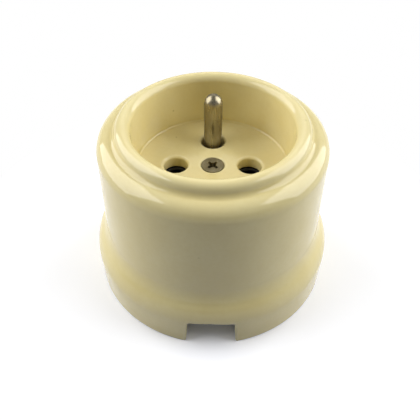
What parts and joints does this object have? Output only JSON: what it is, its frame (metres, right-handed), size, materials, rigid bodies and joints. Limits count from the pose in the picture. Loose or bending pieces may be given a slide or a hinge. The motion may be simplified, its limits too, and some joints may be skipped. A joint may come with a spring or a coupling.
{
  "type": "wall socket",
  "caption": "Round surface-mounted wall socket: cream glazed ceramic housing with recess, earth pin, contact holes, central screw and cable notch.",
  "frame": {"origin": "centre of the foot, on the wall plane", "axes": "+Z out of the wall, along the housing's axis; the cable notch faces -Y and the earth pin stands on the +Y side of the contact holes"},
  "size_m": [0.065, 0.065, 0.047],
  "materials": {
    "ceramic": "glossy",
    "insulator": "satin",
    "plated_metal": "polished",
    "brass": "satin",
    "steel": "satin"
  },
  "bodies": {
    "root": {"ceramic_housing": "ceramic", "insulator_base": "insulator", "insulator_cap": "insulator", "earth_pin": "plated_metal", "earth_strap": "brass", "earth_washer": "plated_metal", "earth_nut": "brass", "live_contact_left": "brass", "live_contact_right": "brass", "contact_clip_left": "steel", "contact_clip_right": "steel", "terminal_cage_left": "brass", "terminal_cage_right": "brass", "terminal_cage_earth": "brass", "terminal_screw_left": "steel", "terminal_screw_right": "steel", "terminal_screw_earth": "steel", "cover_screw": "steel", "cover_insert": "brass", "assembly_screw_front": "steel", "assembly_screw_back_left": "steel", "assembly_screw_back_right": "steel"}
  },
  "joints": []
}
